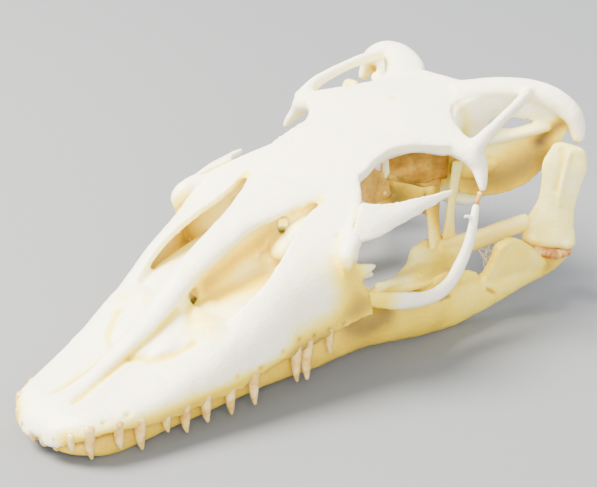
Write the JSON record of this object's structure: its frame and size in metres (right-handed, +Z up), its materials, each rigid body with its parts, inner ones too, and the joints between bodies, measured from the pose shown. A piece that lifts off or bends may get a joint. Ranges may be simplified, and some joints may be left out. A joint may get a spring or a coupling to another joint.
{
  "type": "monitor lizard skull",
  "caption": "Dried skull of a monitor lizard with its lower jaw closed, a long low snout, slit nostrils, large eye openings and thin bone bars behind them.",
  "frame": {"origin": "centre of the bounding box at the height of the table", "axes": "+Z up, -Y towards the tip of the snout, +X towards the animal's left"},
  "size_m": [0.0452, 0.0886, 0.0313],
  "materials": {
    "bone": "dry, softly polished bone",
    "ivory_bone": "dry ivory bone",
    "ochre_bone": "dry bone stained ochre",
    "dried_tissue": "dried brown ligament",
    "dried_membrane": "thin amber dried skin"
  },
  "bodies": {
    "root": {"cranium": "bone", "left_mandible": "ochre_bone", "right_mandible": "ochre_bone", "left_quadrate": "ivory_bone", "right_quadrate": "ivory_bone", "left_jugal": "bone", "right_jugal": "bone", "left_pterygoid": "ivory_bone", "right_pterygoid": "ivory_bone", "left_epipterygoid": "ivory_bone", "right_epipterygoid": "ivory_bone", "left_jaw_ligament": "dried_tissue", "right_jaw_ligament": "dried_tissue", "left_palpebral": "bone", "right_palpebral": "bone", "left_orbit_ligament": "dried_tissue", "orbit_membrane": "dried_membrane"}
  },
  "joints": []
}
